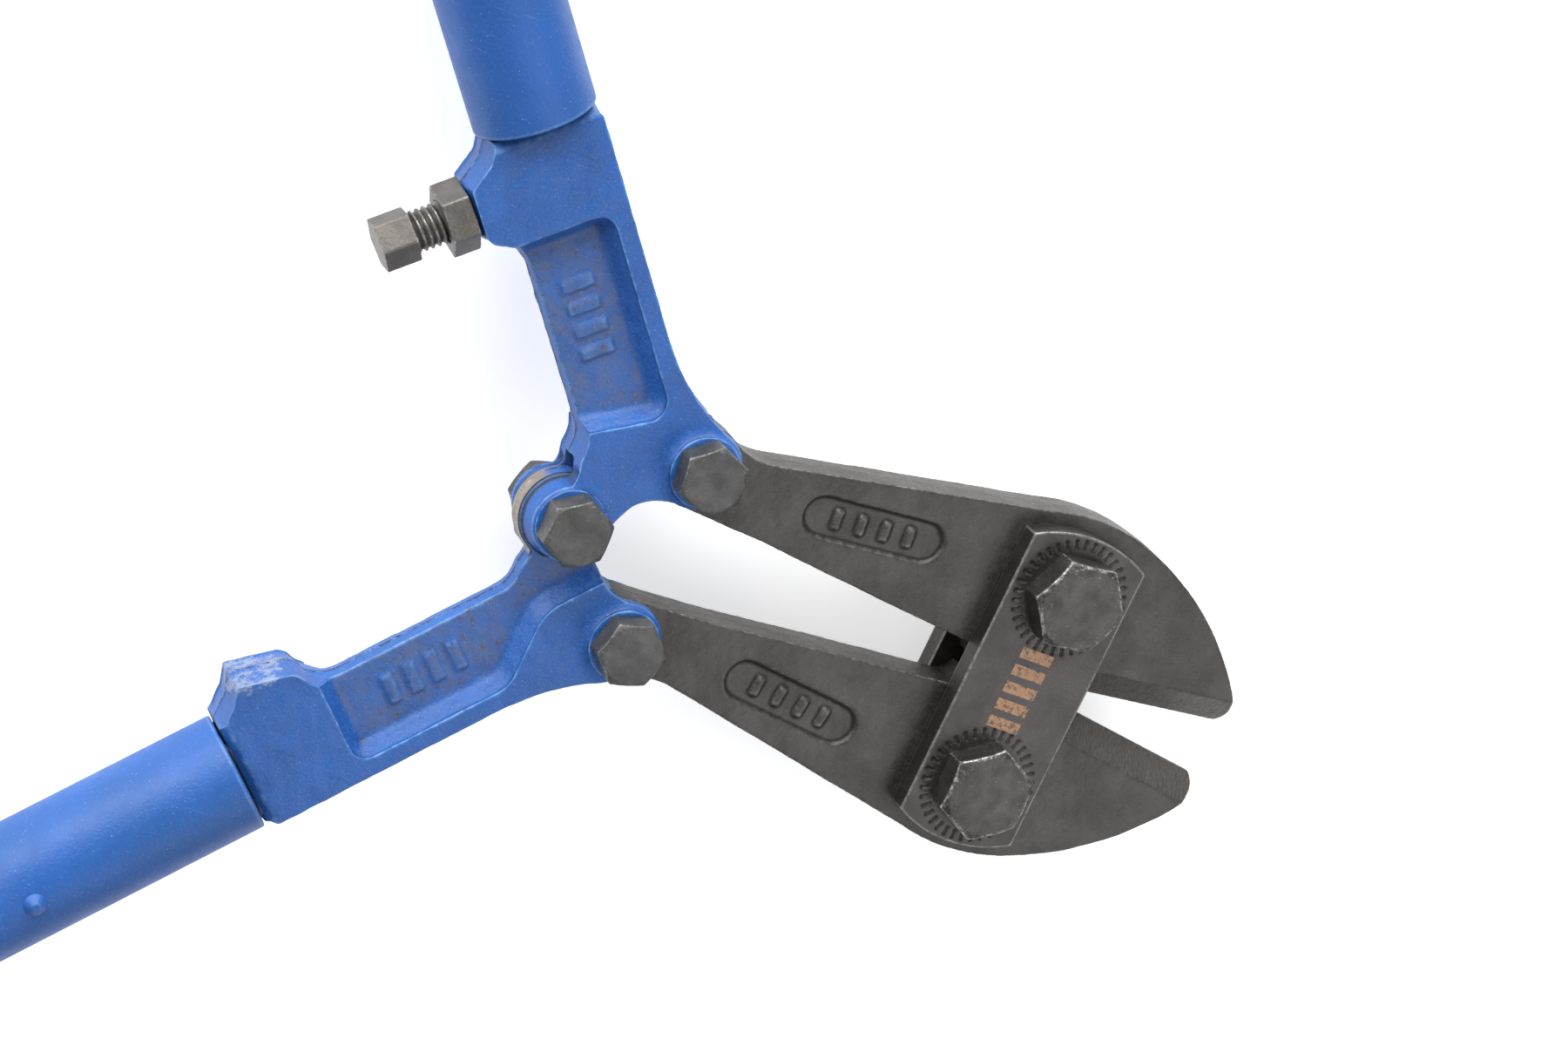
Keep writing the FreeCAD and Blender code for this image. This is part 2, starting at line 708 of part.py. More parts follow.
# ---------------------------------------------------------------- the tool

jaw_tip = plate_face + S["jaw_nut_high"] + S["jaw_tip_out"]
tail_tip = pad_face + S["tail_nut_high"] + S["tail_tip_out"]
make_plate("front_link_plate", front=True)
make_plate("rear_link_plate", front=False)
for which, side in (("upper", 1), ("lower", -1)):
    make_jaw(f"{which}_jaw", side)
    across = side * S["bolt_half_gap"]
    turn = S[f"{which}_jaw_head_turn"]
    make_bolt(f"{which}_jaw_bolt", bolt_along, across, S["jaw_bolt_radius"], S["jaw_hex_flats"],
              S["jaw_head_high"], plate_face, jaw_tip, turn)
    make_nut(f"{which}_jaw_nut", bolt_along, across, S["jaw_bolt_radius"], S["jaw_hex_flats"],
             S["jaw_nut_high"], plate_face, turn + 20)
    across = side * tail_across
    turn = S[f"{which}_tail_head_turn"]
    make_bolt(f"{which}_tail_bolt", tail_along, across, S["tail_bolt_radius"], S["tail_hex_flats"],
              S["tail_head_high"], pad_face, tail_tip, turn)
    make_nut(f"{which}_tail_nut", tail_along, across, S["tail_bolt_radius"], S["tail_hex_flats"],
             S["tail_nut_high"], pad_face, turn + 25)
    make_bracket(f"{which}_handle_bracket", side, forked_hub=side > 0)
    make_tube(f"{which}_tube", side)
    make_grip(f"{which}_grip", side)
    make_rivet(f"{which}_tube_rivet", side)
make_bolt("hub_bolt", S["hub_along"], 0, S["tail_bolt_radius"], S["tail_hex_flats"],
          S["tail_head_high"], pad_face, tail_tip, S["hub_head_turn"])
make_nut("hub_nut", S["hub_along"], 0, S["tail_bolt_radius"], S["tail_hex_flats"],
         S["tail_nut_high"], pad_face, S["hub_head_turn"] - 17)
make_stop_screw("stop_screw")
make_stop_nut("stop_lock_nut")
doc.recompute()

for item in doc.Objects:
    if {"Invalid", "Error"} & set(item.State):
        raise RuntimeError(f"{item.Label} failed: {item.State}")
for body in bodies:
    if body.Shape.isNull() or not body.Shape.isValid() or len(body.Shape.Solids) != 1:
        raise RuntimeError(f"{body.Label} isn't one valid solid")

os.makedirs("parts", exist_ok=True)
for body in bodies:
    body.Shape.exportStep(f"parts/{body.Label}.step")
print(f"{len(bodies)} pieces written")
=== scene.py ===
import json
import math

import bmesh
import bpy
import numpy as np
from mathutils import Euler, Matrix, Vector

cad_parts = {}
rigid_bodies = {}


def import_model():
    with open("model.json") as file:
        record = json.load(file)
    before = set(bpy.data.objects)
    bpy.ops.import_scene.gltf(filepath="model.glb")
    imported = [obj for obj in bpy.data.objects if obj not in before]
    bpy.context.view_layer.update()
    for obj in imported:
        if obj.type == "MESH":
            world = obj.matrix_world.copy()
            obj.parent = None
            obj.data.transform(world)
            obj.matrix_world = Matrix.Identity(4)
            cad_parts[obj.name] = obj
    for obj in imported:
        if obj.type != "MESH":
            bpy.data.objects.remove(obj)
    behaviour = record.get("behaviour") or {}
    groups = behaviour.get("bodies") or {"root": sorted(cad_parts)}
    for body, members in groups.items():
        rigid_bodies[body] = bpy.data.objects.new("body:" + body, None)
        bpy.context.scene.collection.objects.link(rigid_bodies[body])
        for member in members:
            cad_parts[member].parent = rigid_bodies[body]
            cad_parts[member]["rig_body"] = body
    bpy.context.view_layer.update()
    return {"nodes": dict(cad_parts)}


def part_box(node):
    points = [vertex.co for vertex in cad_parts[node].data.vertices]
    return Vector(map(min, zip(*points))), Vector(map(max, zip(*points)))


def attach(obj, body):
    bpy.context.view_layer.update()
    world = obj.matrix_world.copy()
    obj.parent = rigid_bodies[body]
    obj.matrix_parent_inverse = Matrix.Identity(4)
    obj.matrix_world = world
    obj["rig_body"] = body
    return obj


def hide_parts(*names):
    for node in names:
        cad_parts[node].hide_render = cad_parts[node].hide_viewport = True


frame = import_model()

# Looks of the bolt cutters.  Metres, in the frame of the imported part.  Each piece of metal starts as an
# even mesh of its CAD node, is softened like a forging, a casting or a ground plate, and carries its edges
# and its hollows as point attributes that the materials read: edges for wear, hollows for painted shade.
MM = 0.001
HANDLE_ANGLE = math.radians(48.0)     # each handle's turn from the middle line, at rest
JAW_ANGLE = math.radians(6.8)         # each jaw's turn, at rest

# Places in a handle's own frame, in millimetres from the hub: along the handle, and across it.
TUBE_AXIS = 17.2
CASTING_END = 73.0
TUBE_START, TUBE_END = 73.75, 315.9
TUBE_RADIUS, TUBE_BORE = 11.4, 9.62
GRIP_START, GRIP_END = 196.0, 320.9
GRIP_RADIUS, GRIP_BORE = 14.6, 11.46
SCREW_ALONG = 61.0
SMALL_RADIUS, SMALL_PITCH = 4.0, 1.25
JAW_BOLT_RADIUS, JAW_BOLT_PITCH = 5.0, 1.5


def middle(node):
    low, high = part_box(node)
    return np.array((low + high) / 2)


HUB = middle("hub_bolt")
JAW_BOLT = {1: middle("upper_jaw_bolt"), -1: middle("lower_jaw_bolt")}
MID_HEIGHT = 19.4 * MM
HUB[2] = JAW_BOLT[1][2] = JAW_BOLT[-1][2] = MID_HEIGHT
NAMES = {1: "upper", -1: "lower"}


class Local:
    """Frame of a moving piece: origin, turn about Z, and y mirrored on the lower side."""

    def __init__(self, origin, turn, side):
        self.origin, self.side = origin, side
        self.cos, self.sin = math.cos(turn), math.sin(turn)

    def to(self, points):
        p = points - self.origin
        x = p[:, 0] * self.cos + p[:, 1] * self.sin
        y = -p[:, 0] * self.sin + p[:, 1] * self.cos
        return x / MM, y * self.side / MM, p[:, 2] / MM

    def back(self, x, y, z):
        """Directions or lengths in the local frame turned into the row frame."""
        y = y * self.side
        return np.stack([x * self.cos - y * self.sin, x * self.sin + y * self.cos, z], axis=-1)


def handle_frame(side):
    return Local(HUB, -side * HANDLE_ANGLE, side)


def jaw_frame(side):
    return Local(JAW_BOLT[side], side * JAW_ANGLE, side)


def smooth_step(value, low, high):
    t = np.clip((value - low) / (high - low), 0, 1)
    return t * t * (3 - 2 * t)


def wobble(points, size, seed):
    """Soft random field, about -1 to 1, with bumps of `size` millimetres."""
    chance = np.random.default_rng(seed)
    total = np.zeros(len(points))
    for _ in range(14):
        way = chance.normal(size=3)
        way /= np.linalg.norm(way)
        total += np.cos(points @ way * (2 * math.pi / (size * MM * chance.uniform(0.7, 1.6)))
                        + chance.uniform(0, 6.28))
    return total / 4


class Skin:
    """Even closed mesh that starts from one CAD node."""

    def __init__(self, node, voxel):
        source = frame["nodes"][node]
        self.node, self.body = node, source["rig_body"]
        mesh = source.data.copy()
        shape = bmesh.new()
        shape.from_mesh(mesh)
        bmesh.ops.remove_doubles(shape, verts=shape.verts, dist=1e-7)
        shape.to_mesh(mesh)
        shape.free()
        self.obj = bpy.data.objects.new(node + "_look", mesh)
        bpy.context.scene.collection.objects.link(self.obj)
        even = self.obj.modifiers.new("even", "REMESH")
        even.mode = "VOXEL"
        even.voxel_size = voxel * MM
        graph = bpy.context.evaluated_depsgraph_get()
        self.mesh = bpy.data.meshes.new_from_object(self.obj.evaluated_get(graph))
        self.obj.modifiers.clear()
        self.obj.data = self.mesh
        self.mesh.materials.clear()
        count = len(self.mesh.vertices)
        self.co = np.empty(count * 3)
        self.mesh.vertices.foreach_get("co", self.co)
        self.co = self.co.reshape(-1, 3)
        links = np.empty(len(self.mesh.edges) * 2, int)
        self.mesh.edges.foreach_get("vertices", links)
        self.a, self.b = links.reshape(-1, 2).T
        self.degree = np.bincount(np.concatenate([self.a, self.b]), minlength=count).clip(1)

    def spread(self, field):
        """Mean of each point's neighbours."""
        out = np.empty_like(field)
        for k in range(field.shape[1]):
            out[:, k] = (np.bincount(self.a, field[self.b, k], len(field))
                         + np.bincount(self.b, field[self.a, k], len(field))) / self.degree
        return out

    def relax(self, rounds, share=0.5):
        for _ in range(rounds):
            self.co += share * (self.spread(self.co) - self.co)

    def normals(self):
        self.mesh.vertices.foreach_set("co", self.co.ravel())
        self.mesh.update()
        out = np.empty(len(self.co) * 3)
        self.mesh.vertex_normals.foreach_get("vector", out)
        return out.reshape(-1, 3)

    def bulge(self, rounds):
        """How far each point stands out of the smoothed surface, in millimetres."""
        soft = self.co
        for _ in range(rounds):
            soft = soft + 0.5 * (self.spread(soft) - soft)
        return ((self.co - soft) * self.normals()).sum(1) / MM

    def mark_wear_and_shade(self, rounds=6, full=0.1, deep=0.06):
        """Point attributes: 1 on outer edges, for wear, and 1 in inner corners, which the materials darken as
        painted shade.
        """
        bulge = self.bulge(rounds)
        self.mark("edge", np.clip(bulge / full, 0, 1))
        self.mark("painted_hollow_shade", np.clip(-bulge / deep, 0, 1))

    def mark(self, name, values):
        data = self.mesh.attributes.new(name, "FLOAT", "POINT")
        data.data.foreach_set("value", values.astype(np.float32))

    def done(self, material):
        self.mesh.vertices.foreach_set("co", self.co.ravel())
        self.mesh.update()
        self.mesh.polygons.foreach_set("use_smooth", np.ones(len(self.mesh.polygons), bool))
        self.mesh.materials.append(material)
        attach(self.obj, self.body)
        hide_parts(self.node)
        return self.obj


# ---------------------------------------------------------------- materials

class Look:
    """Builds one material out of nodes, on the piece's own coordinates in millimetres."""

    def __init__(self, name):
        self.material = bpy.data.materials.new(name)
        self.material.use_nodes = True
        self.nodes, self.links = self.material.node_tree.nodes, self.material.node_tree.links
        self.shader = self.nodes["Principled BSDF"]
        place = self.nodes.new("ShaderNodeTexCoord")
        scale = self.nodes.new("ShaderNodeMapping")
        scale.inputs["Scale"].default_value = (1000, 1000, 1000)
        self.links.new(place.outputs["Object"], scale.inputs["Vector"])
        self.place = scale.outputs["Vector"]

    def set(self, socket, value):
        if isinstance(value, bpy.types.NodeSocket):
            self.links.new(value, socket)
        elif isinstance(value, tuple) and socket.type == "RGBA":
            socket.default_value = (*value, 1)
        else:
            socket.default_value = value

    def noise(self, size, detail=3.0, rough=0.55, twist=0.0, stretch=None, turn=0.0):
        place = self.place
        if stretch:
            scale = self.nodes.new("ShaderNodeMapping")
            scale.inputs["Scale"].default_value = stretch
            scale.inputs["Rotation"].default_value = (0, 0, turn)
            self.links.new(place, scale.inputs["Vector"])
            place = scale.outputs["Vector"]
        node = self.nodes.new("ShaderNodeTexNoise")
        self.links.new(place, node.inputs["Vector"])
        node.inputs["Scale"].default_value = 1 / size
        node.inputs["Detail"].default_value = detail
        node.inputs["Roughness"].default_value = rough
        node.inputs["Distortion"].default_value = twist
        return node.outputs["Fac"]

    def cells(self, size):
        node = self.nodes.new("ShaderNodeTexVoronoi")
        self.links.new(self.place, node.inputs["Vector"])
        node.inputs["Scale"].default_value = 1 / size
        return node.outputs["Distance"]

    def height(self):
        node = self.nodes.new("ShaderNodeSeparateXYZ")
        self.links.new(self.place, node.inputs[0])
        return node.outputs["Z"]

    def attribute(self, name):
        node = self.nodes.new("ShaderNodeAttribute")
        node.attribute_name = name
        return node.outputs["Fac"]

    def ramp(self, value, low, high, start=0.0, end=1.0):
        node = self.nodes.new("ShaderNodeMapRange")
        node.interpolation_type = "SMOOTHSTEP"
        for key, number in (("Value", value), ("From Min", low), ("From Max", high),
                            ("To Min", start), ("To Max", end)):
            self.set(node.inputs[key], number)
        return node.outputs["Result"]

    def calc(self, what, first, second=0.0, third=0.0):
        node = self.nodes.new("ShaderNodeMath")
        node.operation = what
        for socket, value in zip(node.inputs, (first, second, third)):
            self.set(socket, value)
        return node.outputs[0]

    def mix(self, share, first, second):
        node = self.nodes.new("ShaderNodeMix")
        node.data_type = "RGBA"
        node.clamp_factor = True
        self.set(node.inputs[0], share)
        self.set(node.inputs[6], first)
        self.set(node.inputs[7], second)
        return node.outputs[2]

    def blend(self, share, first, second):
        node = self.nodes.new("ShaderNodeMix")
        node.clamp_factor = True
        self.set(node.inputs[0], share)
        self.set(node.inputs[2], first)
        self.set(node.inputs[3], second)
        return node.outputs[0]

    def bump(self, *layers):
        """Layers are (height, depth in millimetres)."""
        normal = None
        for value, depth in layers:
            node = self.nodes.new("ShaderNodeBump")
            node.inputs["Distance"].default_value = depth * MM
            self.set(node.inputs["Height"], value)
            if normal is not None:
                self.links.new(normal, node.inputs["Normal"])
            normal = node.outputs["Normal"]
        self.links.new(normal, self.shader.inputs["Normal"])

    def finish(self, colour, rough, metal=0.0, **more):
        self.set(self.shader.inputs["Base Color"], colour)
        self.set(self.shader.inputs["Roughness"], rough)
        self.set(self.shader.inputs["Metallic"], metal)
        for key, value in more.items():
            self.set(self.shader.inputs[key.replace("_", " ").title()], value)
        return self.material


BLUE = (0.013, 0.094, 0.365)
DEEP_BLUE = (0.009, 0.073, 0.29)
SCUFF_AND_HIGHLIGHT_BLUE = (0.18, 0.37, 0.65)


def scratches(look, turn, width=0.22, long=14.0, amount=0.66):
    lines = look.noise(1.0, 2.0, 0.5, 0.2, (1 / long, 1 / width, 1 / long), turn)
    return look.ramp(lines, amount, amount + 0.05)


def cast_paint():
    look = Look("painted_casting")
    grain, fine, broad = look.noise(0.55, 4.0, 0.6), look.noise(0.16, 2.0), look.noise(9.0, 4.0)
    edge, painted_hollow_shade = look.attribute("edge"), look.attribute("painted_hollow_shade")
    colour = look.mix(look.ramp(broad, 0.3, 0.72), DEEP_BLUE, BLUE)
    colour = look.mix(look.ramp(grain, 0.42, 0.7, 0.0, 0.4), colour, (0.035, 0.15, 0.42))
    # Painted shade: inner corners darkened towards deep blue.
    colour = look.mix(look.ramp(painted_hollow_shade, 0.15, 0.9, 0.0, 0.8), colour, (0.006, 0.028, 0.11))
    # Outer edges lightened towards pale blue: partly scuffed paint, partly painted highlight.
    rub = look.calc("MULTIPLY", look.ramp(edge, 0.12, 0.75),
                    look.ramp(look.noise(2.3, 5.0, 0.7), 0.36, 0.6, 0.25, 1.0))
    colour = look.mix(look.calc("MULTIPLY", rub, 0.72), colour, SCUFF_AND_HIGHLIGHT_BLUE)
    chip = look.calc("MULTIPLY", look.ramp(edge, 0.3, 0.8), look.ramp(look.noise(1.1, 5.0, 0.75), 0.63, 0.68))
    colour = look.mix(chip, colour, (0.42, 0.42, 0.42))
    low_ground = look.attribute("web")
    stain = look.ramp(look.noise(3.5, 5.0, 0.7), 0.36, 0.7, 0.1, 0.65)
    colour = look.mix(look.calc("MULTIPLY", stain, low_ground), colour, (0.085, 0.105, 0.165))
    specks = look.calc("MULTIPLY", look.ramp(look.noise(1.3, 4.0, 0.7), 0.56, 0.64),
                       look.ramp(look.noise(5.0, 2.0), 0.38, 0.58))
    specks = look.calc("MULTIPLY", specks, look.ramp(low_ground, 0.0, 1.0, 0.15, 0.8))
    colour = look.mix(specks, colour, (0.07, 0.048, 0.045))
    dust = look.ramp(look.noise(0.26, 2.0, 0.6), 0.66, 0.74, 0.0, 0.6)
    colour = look.mix(dust, colour, (0.30, 0.42, 0.60))
    seam = look.calc("ABSOLUTE", look.calc("SUBTRACT", look.height(), MID_HEIGHT / MM))
    seam = look.calc("ADD", seam, look.ramp(look.noise(1.6, 5.0, 0.8), 0.3, 0.7, -0.28, 0.34))
    seam = look.calc("MULTIPLY", look.ramp(seam, 0.16, 0.4, 1.0, 0.0), look.attribute("wall"))
    colour = look.mix(look.calc("MULTIPLY", seam, 0.85), colour, (0.012, 0.02, 0.045))
    worn = look.attribute("worn")
    patches = look.ramp(look.noise(2.4, 6.0, 0.8), 0.3, 0.7, -1.1, 0.05)
    worn = look.ramp(look.calc("ADD", worn, patches), 0.3, 0.7)
    colour = look.mix(look.calc("MULTIPLY", worn, 0.4), colour,
                      look.mix(fine, (0.36, 0.35, 0.28), (0.5, 0.5, 0.46)))
    bare = look.attribute("bare")
    colour = look.mix(bare, colour,
                      look.mix(look.noise(0.8, 4.0, 0.7), (0.20, 0.165, 0.14), (0.42, 0.38, 0.34)))
    # Painted shade: near black in the gaps beside the hub tongue and where the casting meets the tube.
    colour = look.mix(look.attribute("painted_gap_shade"), colour, (0.006, 0.007, 0.012))
    metal = look.calc("MAXIMUM", look.calc("MULTIPLY", bare, 0.8), look.calc("MULTIPLY", chip, 0.7))
    rough = look.ramp(grain, 0.3, 0.7, 0.36, 0.52)
    rough = look.blend(look.calc("MAXIMUM", rub, seam), rough, 0.6)
    look.bump((look.noise(2.6, 3.0), 0.12), (grain, 0.10), (fine, 0.022),
              (scratches(look, 0.5), -0.02), (chip, -0.05), (seam, -0.1))
    return look.finish(colour, rough, metal)


def tube_paint():
    look = Look("painted_tube")
    broad, grain, peel = look.noise(14.0, 4.0), look.noise(0.5, 3.0), look.noise(1.3, 2.0)
    colour = look.mix(look.ramp(broad, 0.3, 0.7), (0.012, 0.083, 0.30), BLUE)
    colour = look.mix(look.ramp(grain, 0.5, 0.75, 0.0, 0.25), colour, (0.035, 0.15, 0.42))
    dust = look.ramp(look.noise(0.4, 2.0, 0.6), 0.68, 0.75, 0.0, 0.6)
    colour = look.mix(dust, colour, (0.30, 0.42, 0.60))
    edge = look.attribute("edge")
    rub = look.calc("MULTIPLY", look.ramp(edge, 0.1, 0.8),
                    look.ramp(look.noise(2.0, 5.0, 0.7), 0.3, 0.6, 0.3, 1.0))
    colour = look.mix(look.calc("MULTIPLY", rub, 0.3), colour, SCUFF_AND_HIGHLIGHT_BLUE)
    chips = look.ramp(look.noise(2.6, 6.0, 0.8), 0.72, 0.75)
    colour = look.mix(chips, colour, (0.10, 0.07, 0.06))
    lines = look.calc("MAXIMUM", scratches(look, 0.75, 0.16, 9.0, 0.72),
                      scratches(look, -0.3, 0.18, 14.0, 0.73))
    colour = look.mix(look.calc("MULTIPLY", lines, 0.3), colour, SCUFF_AND_HIGHLIGHT_BLUE)
    look.bump((peel, 0.06), (grain, 0.08), (lines, -0.015), (chips, -0.05))
    return look.finish(colour, look.ramp(look.noise(4.0, 4.0), 0.3, 0.7, 0.42, 0.54), 0.0)


def jaw_steel():
    look = Look("jaw_steel")
    grain, fine, broad = look.noise(0.7, 5.0, 0.65), look.noise(0.18, 2.0), look.noise(11.0, 5.0, 0.6)
    edge, painted_hollow_shade, ground = look.attribute("edge"), look.attribute("painted_hollow_shade"), look.attribute("ground")
    colour = look.mix(look.ramp(broad, 0.3, 0.7), (0.043, 0.040, 0.036), (0.071, 0.067, 0.062))
    colour = look.mix(look.ramp(grain, 0.45, 0.75, 0.0, 0.5), colour, (0.12, 0.108, 0.10))
    colour = look.mix(look.ramp(look.noise(0.5, 3.0, 0.7), 0.62, 0.7, 0.0, 0.7), colour, (0.02, 0.017, 0.015))
    # Painted shade: inner corners darkened towards near black.
    colour = look.mix(look.ramp(painted_hollow_shade, 0.15, 0.9, 0.0, 0.6), colour, (0.014, 0.012, 0.011))
    rub = look.calc("MULTIPLY", look.ramp(edge, 0.2, 0.8),
                    look.ramp(look.noise(1.6, 5.0, 0.75), 0.4, 0.62, 0.15, 1.0))
    colour = look.mix(look.calc("MULTIPLY", rub, 0.6), colour, (0.30, 0.285, 0.27))
    knocks = look.ramp(look.noise(0.95, 5.0, 0.8), 0.72, 0.76)
    colour = look.mix(look.calc("MULTIPLY", knocks, 0.8), colour, (0.36, 0.33, 0.31))
    lines = look.calc("MAXIMUM", scratches(look, 0.35, 0.14, 7.0, 0.745),
                      scratches(look, -0.9, 0.13, 5.0, 0.75))
    colour = look.mix(look.calc("MULTIPLY", lines, 0.45), colour, (0.26, 0.24, 0.23))
    cut = look.noise(1.0, 3.0, 0.6, 0.0, (1 / 0.25, 1 / 6.0, 1 / 0.8))
    fresh = look.mix(look.ramp(cut, 0.3, 0.7), (0.085, 0.076, 0.070), (0.15, 0.135, 0.125))
    colour = look.mix(look.calc("MULTIPLY", ground, 0.85), colour, fresh)
    rough = look.blend(look.calc("MAXIMUM", rub, ground), look.ramp(grain, 0.3, 0.7, 0.36, 0.52), 0.34)
    look.bump((look.noise(3.2, 3.0), 0.10), (grain, 0.075), (fine, 0.016), (lines, -0.03), (knocks, -0.06),
              (look.calc("MULTIPLY", cut, ground), 0.05))
    return look.finish(colour, rough, 0.62)


def plate_steel():
    look = Look("link_plate_steel")
    grain, fine, broad = look.noise(0.45, 4.0, 0.6), look.noise(0.14, 2.0), look.noise(8.0, 4.0)
    edge, painted_hollow_shade = look.attribute("edge"), look.attribute("painted_hollow_shade")
    colour = look.mix(look.ramp(broad, 0.3, 0.7), (0.044, 0.040, 0.038), (0.066, 0.060, 0.057))
    colour = look.mix(look.ramp(grain, 0.5, 0.8, 0.0, 0.4), colour, (0.12, 0.11, 0.10))
    # Painted shade: inner corners darkened towards near black.
    colour = look.mix(look.ramp(painted_hollow_shade, 0.2, 0.9, 0.0, 0.8), colour, (0.012, 0.011, 0.010))
    rub = look.calc("MULTIPLY", look.ramp(edge, 0.25, 0.75),
                    look.ramp(look.noise(1.4, 5.0, 0.7), 0.34, 0.58, 0.3, 1.0))
    colour = look.mix(look.calc("MULTIPLY", rub, 0.5), colour, (0.50, 0.48, 0.46))
    knocks = look.ramp(look.noise(0.9, 5.0, 0.8), 0.725, 0.76)
    colour = look.mix(look.calc("MULTIPLY", knocks, 0.8), colour, (0.45, 0.42, 0.40))
    lines = look.calc("MAXIMUM", scratches(look, 0.5, 0.12, 8.0, 0.745),
                      scratches(look, 1.3, 0.12, 5.0, 0.75))
    colour = look.mix(look.calc("MULTIPLY", lines, 0.45), colour, (0.30, 0.28, 0.26))
    rough = look.blend(rub, look.ramp(grain, 0.3, 0.7, 0.33, 0.45), 0.26)
    look.bump((look.noise(2.0, 3.0), 0.03), (grain, 0.025), (fine, 0.012), (lines, -0.025), (knocks, -0.05))
    return look.finish(colour, rough, 0.7)


def bolt_steel(name, dark, light, worn, metal, rough_low, rough_high, wear_from):
    look = Look(name)
    grain, fine, broad = look.noise(0.5, 5.0, 0.7), look.noise(0.15, 2.0), look.noise(4.0, 4.0)
    edge, painted_hollow_shade = look.attribute("edge"), look.attribute("painted_hollow_shade")
    tone = look.calc("ADD", broad, look.calc("MULTIPLY", grain, 0.6))
    colour = look.mix(look.ramp(tone, 0.45, 1.25), dark, light)
    colour = look.mix(look.ramp(look.noise(0.35, 3.0, 0.7), 0.62, 0.7, 0.0, 0.8), colour,
                      tuple(c * 0.3 for c in dark))
    # Painted shade: inner corners darkened to a quarter of the dark tone.
    colour = look.mix(look.ramp(painted_hollow_shade, 0.2, 0.9, 0.0, 0.8), colour, tuple(c * 0.25 for c in dark))
    rub = look.calc("MULTIPLY", look.ramp(edge, wear_from, wear_from + 0.4),
                    look.ramp(look.noise(1.1, 5.0, 0.8), 0.44, 0.60, 0.05, 0.75))
    colour = look.mix(rub, colour, worn)
    knocks = look.ramp(look.noise(0.7, 5.0, 0.8), 0.69, 0.74)
    rim = look.calc("MULTIPLY", look.attribute("rim"),
                    look.ramp(look.noise(0.9, 6.0, 0.85), 0.50, 0.68))
    knocks = look.calc("MAXIMUM", knocks, look.calc("MULTIPLY", rim, 0.55))
    lines = look.calc("MAXIMUM", scratches(look, 0.7, 0.10, 3.0, 0.70),
                      scratches(look, -0.6, 0.10, 2.5, 0.71))
    knocks = look.calc("MAXIMUM", knocks, look.calc("MULTIPLY", lines, 0.5))
    colour = look.mix(look.calc("MULTIPLY", knocks, 0.75), colour, worn)
    rough = look.blend(rub, look.ramp(grain, 0.3, 0.7, rough_low, rough_high), 0.28)
    look.bump((look.noise(1.4, 3.0), 0.05), (grain, 0.05), (fine, 0.014), (knocks, -0.05))
    return look.finish(colour, rough, metal)


def rubber():
    look = Look("grip_rubber")
    grain, broad = look.noise(0.4, 4.0), look.noise(9.0, 4.0)
    colour = look.mix(look.ramp(broad, 0.3, 0.7), (0.014, 0.014, 0.015), (0.030, 0.030, 0.032))
    colour = look.mix(look.ramp(look.noise(3.0, 5.0, 0.7), 0.5, 0.8, 0.0, 0.5), colour, (0.075, 0.073, 0.07))
    colour = look.mix(look.ramp(look.attribute("edge"), 0.2, 0.9, 0.0, 0.35), colour, (0.09, 0.09, 0.09))
    lines = scratches(look, 0.8, 0.4, 9.0, 0.68)
    look.bump((look.noise(2.0, 2.0), 0.06), (grain, 0.05), (look.cells(0.55), 0.03), (lines, -0.03))
    return look.finish(colour, look.ramp(broad, 0.3, 0.7, 0.58, 0.78), 0.0)


def copper_print():
    look = Look("copper_print")
    gone = look.ramp(look.noise(0.9, 6.0, 0.75), 0.5, 0.62)
    colour = look.mix(look.noise(0.5, 4.0), (0.21, 0.115, 0.06), (0.34, 0.20, 0.12))
    colour = look.mix(gone, colour, (0.10, 0.075, 0.06))
    look.bump((look.noise(0.3, 3.0), 0.02), (gone, -0.01))
    return look.finish(colour, look.blend(gone, 0.4, 0.5), 0.5)


def glowing_floor_paper():
    look = Look("floor")
    colour = look.mix(look.noise(260.0, 3.0), (0.86, 0.86, 0.865), (0.90, 0.90, 0.90))
    look.bump((look.noise(3.0, 4.0), 0.04))
    # Painted light: the floor glows, which washes out shadows and lights the tool from below.
    look.set(look.shader.inputs["Emission Color"], (1.0, 1.0, 1.0))
    look.set(look.shader.inputs["Emission Strength"], 0.5)
    return look.finish(colour, look.ramp(look.noise(120.0), 0.3, 0.7, 0.7, 0.85), 0.0)


paint, tube_blue, jaw_look, plate_look = cast_paint(), tube_paint(), jaw_steel(), plate_steel()
jaw_bolt_look = bolt_steel("jaw_bolt_steel", (0.035, 0.033, 0.032), (0.10, 0.095, 0.09),
                           (0.55, 0.52, 0.50), 0.7, 0.3, 0.5, 0.25)
small_bolt_look = bolt_steel("small_bolt_steel", (0.055, 0.055, 0.052), (0.13, 0.13, 0.125),
                             (0.34, 0.34, 0.33), 0.6, 0.4, 0.6, 0.35)
stop_look = bolt_steel("stop_screw_steel", (0.11, 0.10, 0.09), (0.19, 0.175, 0.16),
                       (0.40, 0.38, 0.35), 0.6, 0.36, 0.52, 0.3)
grip_look = rubber()


# ---------------------------------------------------------------- castings and forgings

